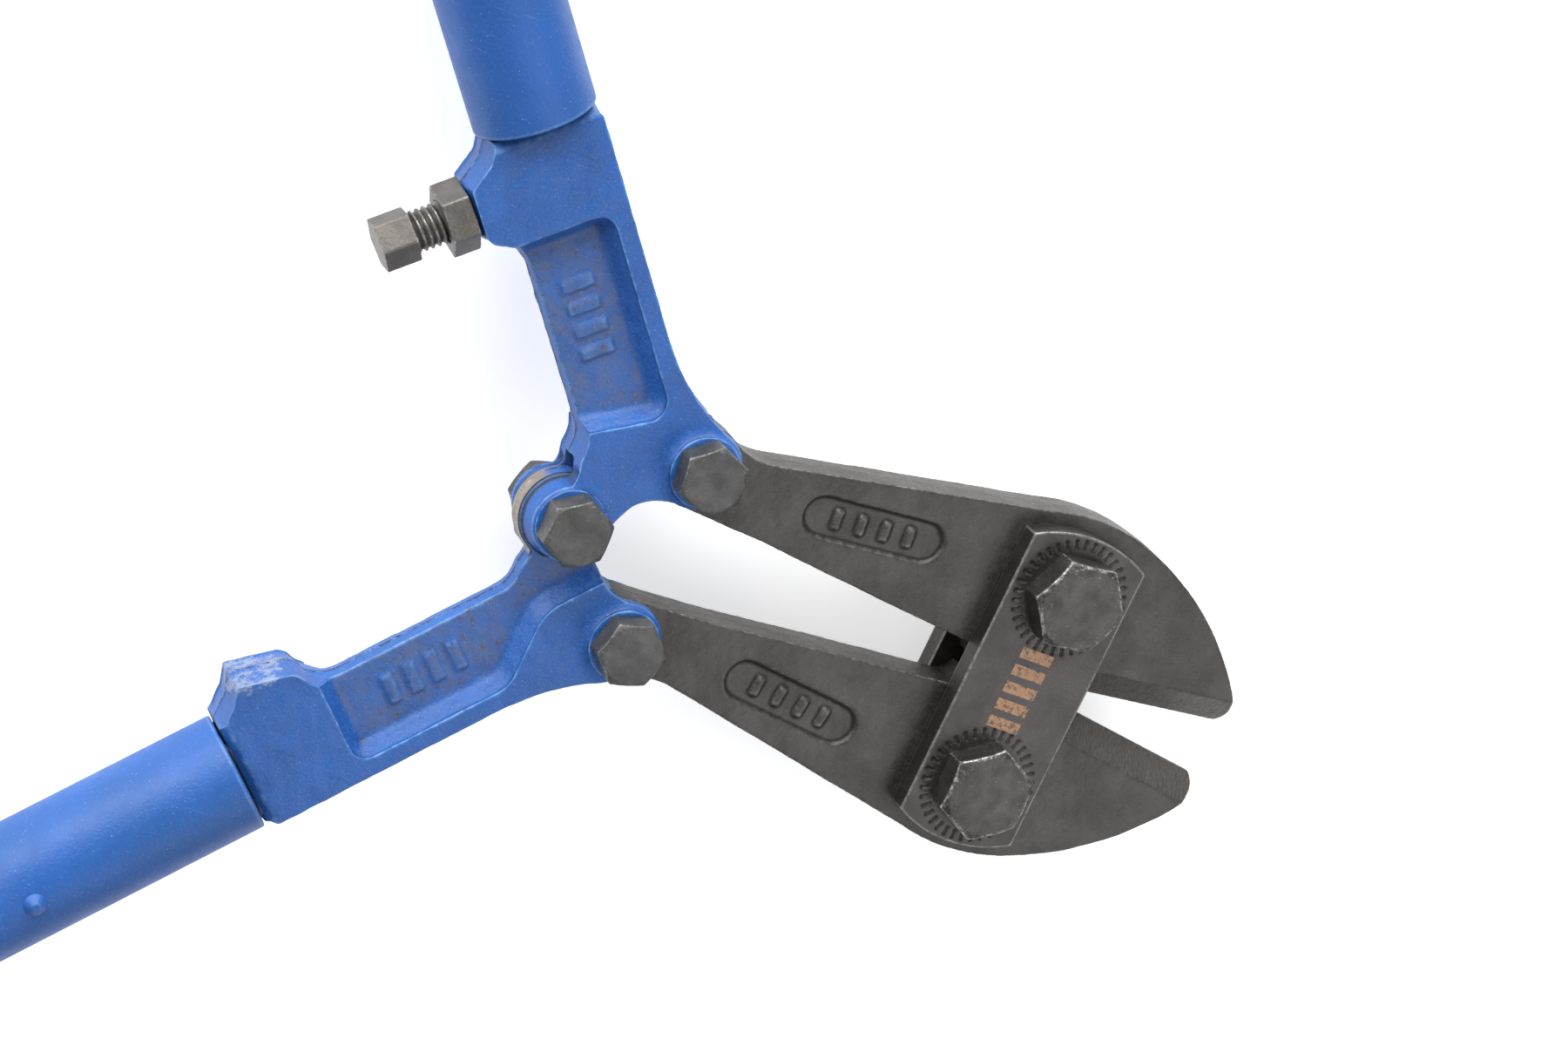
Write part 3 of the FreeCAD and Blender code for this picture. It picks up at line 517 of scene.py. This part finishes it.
def make_bracket(side):
    skin = Skin(f"{NAMES[side]}_handle_bracket", 0.31)
    local = handle_frame(side)
    skin.relax(2)
    along, across, up = local.to(skin.co)
    normal = skin.normals()
    level = np.hypot(normal[:, 0], normal[:, 1])
    wall = smooth_step(level, 0.45, 0.9)
    in_tube = along < -CASTING_END
    at_hub = smooth_step(-np.hypot(along, across), -10.5, -9.0) * (np.abs(up) > 2.6)
    draft = np.tan(np.radians(8.0 + 9.0 * at_hub)) * np.abs(up) * MM * wall * ~in_tube
    skin.co[:, :2] -= normal[:, :2] * draft[:, None]
    for step in range(4):
        bar = (np.abs(along + 42.0 - 4.5 * step) < 1.3) & (np.abs(across - 15.2) < 3.2) & (np.abs(up) < 4.0)
        skin.co[:, 2] += np.where(bar, np.sign(up) * 0.2 * MM, 0)
    slope = np.abs(up) - (6.5 - 0.8 * (-71.8 - along))
    skin.co[:, 2] -= np.where((along < -71.8) & (along > -73.6) & (slope > 0), np.sign(up) * slope * MM, 0)
    skin.relax(7)
    along, across, up = local.to(skin.co)
    normal = skin.normals()
    wall = smooth_step(np.hypot(normal[:, 0], normal[:, 1]), 0.6, 0.92) * ~in_tube
    lift = 0.05 * wobble(skin.co, 5.0, 11) + 0.02 * wobble(skin.co, 1.6, 12)
    ridge = np.exp(-(up / 0.45) ** 2) * wall * (0.16 + 0.12 * wobble(skin.co, 3.0, 13))
    lift = np.where(in_tube, 0, lift * (1 - 0.6 * (level > 0.9)) + ridge)
    skin.co += normal * (lift * MM)[:, None]
    skin.mark_wear_and_shade(8, 0.15, 0.12)
    skin.mark("wall", wall)
    worn = np.zeros(len(skin.co))
    bare = np.zeros(len(skin.co))
    if side < 0:
        worn = (smooth_step(-across, -3.2, -0.6) * smooth_step(along, -71.5, -69)
                * smooth_step(-along, 55.5, 57))
        bare = smooth_step(-np.hypot(along, across), -9.6, -9.1) * smooth_step(-along, -2.0, 1.0) * wall
    skin.mark("worn", worn)
    skin.mark("web", smooth_step(-np.abs(up), -3.6, -3.0) * smooth_step(-level, -0.6, -0.2) * ~in_tube)
    skin.mark("bare", bare)
    # Painted shade, near black, in the gaps: the hub ear faces beside the tongue, and the casting where it
    # meets the tube.
    near_hub = smooth_step(-np.hypot(along, across), -10.2, -9.4) * smooth_step(level, 0.15, 0.5)
    edge_of_tongue = smooth_step(np.abs(up), 1.75, 2.15) if side < 0 else 1.0
    painted_gap_shade = near_hub * edge_of_tongue * smooth_step(-np.abs(up), -3.5, -3.1)
    skin.mark("painted_gap_shade", np.maximum(painted_gap_shade, smooth_step(-along, 73.15, 73.4)))
    return skin.done(paint)


def make_jaw(side):
    skin = Skin(f"{NAMES[side]}_jaw", 0.27)
    local = jaw_frame(side)
    skin.relax(2)
    along, across, up = local.to(skin.co)
    normal = skin.normals()
    blade = smooth_step(along, 6.0, 9.0) * smooth_step(-across, 14.0, 15.5)
    wall = smooth_step(np.hypot(normal[:, 0], normal[:, 1]), 0.5, 0.95)
    draft = math.tan(math.radians(2.5)) * np.abs(up) * MM * wall * (1 - blade)
    skin.co[:, :2] -= normal[:, :2] * draft[:, None]
    floor = ((np.abs(normal[:, 2]) > 0.7) & (np.abs(up) < 4.42) & (np.abs(up) > 3.9)
             & (along < -20) & (along > -60))
    skin.co[:, 2] -= np.where(floor, np.sign(up) * 0.3 * MM, 0)
    sharp = skin.co.copy()
    skin.relax(5)
    skin.co += (sharp - skin.co) * (0.75 * blade)[:, None]
    normal = skin.normals()
    lift = (0.04 * wobble(skin.co, 6.0, 21) + 0.018 * wobble(skin.co, 2.0, 22)) * (1 - 0.8 * blade)
    skin.co += normal * (lift * MM)[:, None]
    skin.mark_wear_and_shade(6, 0.10, 0.05)
    slant = smooth_step(-local.back(np.zeros(1), np.ones(1), np.zeros(1))[0] @ normal.T, 0.25, 0.5)
    skin.mark("ground", slant * smooth_step(along, 8.0, 9.5) * smooth_step(-across, 14.0, 15.0))
    return skin.done(jaw_look)


def make_plate(node):
    skin = Skin(node, 0.25)
    skin.relax(2)
    skin.mark_wear_and_shade(5, 0.06, 0.11)
    return skin.done(plate_look)


def threaded(skin, origin, axis, radius, pitch, depth, low, high):
    """Cut a screw thread into the part of a shank between two places along its axis, in metres."""
    axis = np.array(axis, float)
    side = np.cross(axis, (0, 0, 1) if abs(axis[2]) < 0.5 else (1, 0, 0))
    side /= np.linalg.norm(side)
    other = np.cross(axis, side)
    p = skin.co - origin
    along, x, y = p @ axis, p @ side, p @ other
    out = np.hypot(x, y)
    turns = along / pitch - np.arctan2(y, x) / (2 * math.pi)
    groove = np.abs((turns % 1) - 0.5) * 2
    here = (out > radius * 0.9) & (out < radius * 1.04) & (along > low) & (along < high)
    shrink = np.where(here, depth * np.clip(1.25 * groove - 0.1, 0, 1) / out.clip(1e-6), 0)
    skin.co -= (x * shrink)[:, None] * side + (y * shrink)[:, None] * other


def make_fastener(node, material, radius, pitch, voxel=0.22):
    skin = Skin(node, voxel)
    centre = middle(node)
    if node.endswith("bolt"):
        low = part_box(node)[0][2] - centre[2]
        threaded(skin, centre, (0, 0, 1), radius * MM, pitch * MM, 0.55 * pitch * MM, low, low + 12 * MM)
    skin.relax(4)
    skin.mark_wear_and_shade(5, 0.07)
    out = np.hypot(*(skin.co - centre)[:, :2].T) / MM
    top = smooth_step(skin.normals()[:, 2], 0.6, 0.9)
    skin.mark("rim", smooth_step(out, radius * 1.1, radius * 1.5) * top)
    return skin.done(material)


def make_stop_screw():
    skin = Skin("stop_screw", 0.17)
    local = handle_frame(1)
    axis = local.back(0.0, -1.0, 0.0)
    origin = HUB + local.back(-SCREW_ALONG * MM, 0.0, 0.0)
    threaded(skin, origin, axis, SMALL_RADIUS * MM, SMALL_PITCH * MM, 0.72 * MM, -12 * MM, 11.0 * MM)
    skin.relax(2)
    skin.mark_wear_and_shade(5, 0.06)
    return skin.done(stop_look)


# ---------------------------------------------------------------- turned pieces

def turned(name, profile, local, across, edge, segments=128):
    """Solid of revolution about a handle's tube axis.  The profile is (along, radius) in millimetres."""
    angles = np.linspace(0, 2 * math.pi, segments, endpoint=False)
    along = np.repeat([p[0] for p in profile], segments)
    radius = np.repeat([p[1] for p in profile], segments)
    turn = np.tile(angles, len(profile))
    points = local.back(-along, across + radius * np.cos(turn), radius * np.sin(turn)) * MM + local.origin
    faces = []
    for ring in range(len(profile) - 1):
        for k in range(segments):
            a, b = ring * segments + k, ring * segments + (k + 1) % segments
            faces.append((a, b, b + segments, a + segments))
    mesh = bpy.data.meshes.new(name)
    mesh.from_pydata(points.tolist(), [], faces)
    mesh.polygons.foreach_set("use_smooth", np.ones(len(faces), bool))
    shape = bmesh.new()
    shape.from_mesh(mesh)
    bmesh.ops.remove_doubles(shape, verts=shape.verts, dist=1e-7)
    bmesh.ops.recalc_face_normals(shape, faces=shape.faces)
    shape.to_mesh(mesh)
    shape.free()
    obj = bpy.data.objects.new(name, mesh)
    bpy.context.scene.collection.objects.link(obj)
    places = np.array([v.co for v in mesh.vertices])
    far = -local.to(places)[0]
    data = mesh.attributes.new("edge", "FLOAT", "POINT")
    data.data.foreach_set("value", edge(far).astype(np.float32))
    return obj


def make_tube(side):
    local = handle_frame(side)
    start, end, radius, bore = TUBE_START, TUBE_END, TUBE_RADIUS, TUBE_BORE
    lip = [(start + 0.5 * (1 - math.sin(t)), radius - 0.5 * (1 - math.cos(t)))
           for t in np.linspace(math.pi / 2, 0, 6)]
    outside = [(s, radius) for s in np.linspace(start + 1.0, end, 60)]
    profile = [(start, bore)] + lip + outside + [(end, bore), (start, bore)]
    obj = turned(f"{NAMES[side]}_tube_look", profile, local, TUBE_AXIS,
                 lambda far: (smooth_step(far, start + 0.2, start + 0.5)
                              * (1 - smooth_step(far, start + 0.6, start + 1.0))))
    obj.data.materials.append(tube_blue)
    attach(obj, f"{NAMES[side]}_handle")
    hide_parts(f"{NAMES[side]}_tube")


def make_grip(side):
    local = handle_frame(side)
    start, end, radius, bore = GRIP_START, GRIP_END, GRIP_RADIUS, GRIP_BORE
    profile = [(start + 0.6, bore), (start, bore + 0.5), (start, 15.2), (start + 0.35, 15.9),
               (start + 1.1, 16.15), (start + 1.9, 16.15), (start + 2.6, 15.9), (start + 3.0, 15.3),
               (start + 3.4, 14.8), (start + 4.4, radius)]
    place = start + 9.0
    while place < end - 18:
        profile += [(place + step, radius - drop) for step, drop in
                    ((0, 0), (0.35, 0.08), (0.7, 0.42), (1.05, 0.8), (1.5, 0.9),
                     (1.95, 0.8), (2.3, 0.42), (2.65, 0.08), (3.0, 0))]
        profile += [(place + 4.0, radius)]
        place += 5.2
    profile += [(end - 4 + 4 * math.sin(t), radius - 4 + 4 * math.cos(t))
                for t in np.linspace(0.05, math.pi / 2, 9)]
    profile += [(end, 6.0), (end - 0.3, 5.2), (end - 0.35, 3.0), (end - 0.35, 0.0)]
    obj = turned(f"{NAMES[side]}_grip_look", profile, local, TUBE_AXIS, lambda far: far * 0 + 0.3)
    obj.data.materials.append(grip_look)
    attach(obj, f"{NAMES[side]}_handle")
    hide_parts(f"{NAMES[side]}_grip")


def make_rivet(side):
    skin = Skin(f"{NAMES[side]}_tube_rivet", 0.16)
    skin.relax(1)
    skin.mark_wear_and_shade(5, 0.08)
    return skin.done(tube_blue)


def copper_bars():
    """Plain printed bars across the middle of the front plate."""
    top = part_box("front_link_plate")[1][2]
    shape = bmesh.new()
    for index in range(5):
        centre = Vector((JAW_BOLT[1][0] - 0.75 * MM, (index - 2) * 3.7 * MM, top + 0.01 * MM))
        size = Matrix.Diagonal((7.2 * MM, 2.3 * MM, 0.06 * MM, 1))
        bmesh.ops.create_cube(shape, size=1, matrix=Matrix.Translation(centre) @ size)
    mesh = bpy.data.meshes.new("copper_bars")
    shape.to_mesh(mesh)
    shape.free()
    obj = bpy.data.objects.new("copper_bars", mesh)
    bpy.context.scene.collection.objects.link(obj)
    mesh.materials.append(copper_print())
    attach(obj, "head")


for side in (1, -1):
    which = NAMES[side]
    make_bracket(side)
    make_jaw(side)
    make_tube(side)
    make_grip(side)
    make_rivet(side)
    make_fastener(f"{which}_jaw_bolt", jaw_bolt_look, JAW_BOLT_RADIUS, JAW_BOLT_PITCH, 0.26)
    make_fastener(f"{which}_jaw_nut", jaw_bolt_look, JAW_BOLT_RADIUS, JAW_BOLT_PITCH, 0.26)
    make_fastener(f"{which}_tail_bolt", small_bolt_look, SMALL_RADIUS, SMALL_PITCH)
    make_fastener(f"{which}_tail_nut", small_bolt_look, SMALL_RADIUS, SMALL_PITCH)
make_fastener("hub_bolt", small_bolt_look, SMALL_RADIUS, SMALL_PITCH)
make_fastener("hub_nut", small_bolt_look, SMALL_RADIUS, SMALL_PITCH)
make_fastener("stop_lock_nut", stop_look, SMALL_RADIUS, SMALL_PITCH)
make_plate("front_link_plate")
make_plate("rear_link_plate")
make_stop_screw()
copper_bars()


# ---------------------------------------------------------------- floor, camera and light

def make_floor():
    shape = bmesh.new()
    bmesh.ops.create_grid(shape, x_segments=2, y_segments=2, size=2.5)
    mesh = bpy.data.meshes.new("floor")
    shape.to_mesh(mesh)
    shape.free()
    floor = bpy.data.objects.new("floor", mesh)
    floor.location.z = -0.0002
    bpy.context.scene.collection.objects.link(floor)
    mesh.materials.append(glowing_floor_paper())


def soft_box(name, place, aim, width, height, power, tint):
    light = bpy.data.lights.new(name, "AREA")
    light.shape = "RECTANGLE"
    light.size, light.size_y, light.energy, light.color = width, height, power, tint
    obj = bpy.data.objects.new(name, light)
    obj.location = place
    obj.rotation_euler = (Vector(aim) - Vector(place)).to_track_quat("-Z", "Y").to_euler()
    bpy.context.scene.collection.objects.link(obj)


make_floor()
TARGET = (0.05, 0.0, 0.02)
soft_box("tent_top", (-0.35, 1.25, 0.6), TARGET, 1.5, 0.9, 27.0, (1.0, 1.0, 0.99))
soft_box("tent_left", (-1.25, 0.45, 0.5), TARGET, 1.0, 0.8, 13.0, (1.0, 0.99, 0.97))
soft_box("tent_right", (0.9, -0.3, 1.1), TARGET, 1.0, 1.0, 7.0, (0.98, 0.99, 1.0))

world = bpy.data.worlds.new("room")
world.use_nodes = True
world.node_tree.nodes["Background"].inputs["Color"].default_value = (0.93, 0.95, 1.0, 1.0)
world.node_tree.nodes["Background"].inputs["Strength"].default_value = 0.42
bpy.context.scene.world = world

camera = bpy.data.cameras.new("camera")
camera.lens, camera.sensor_width = 90.0, 36.0
camera.clip_start, camera.clip_end = 0.05, 20.0
eye = bpy.data.objects.new("camera", camera)
eye.location = (-0.2503, 0.1441, 0.6711)
eye.rotation_euler = Euler([math.radians(a) for a in (-20.8328, -19.5228, 26.7069)], "XYZ")
bpy.context.scene.collection.objects.link(eye)
bpy.context.scene.camera = eye
bpy.context.scene.view_settings.view_transform = "Standard"
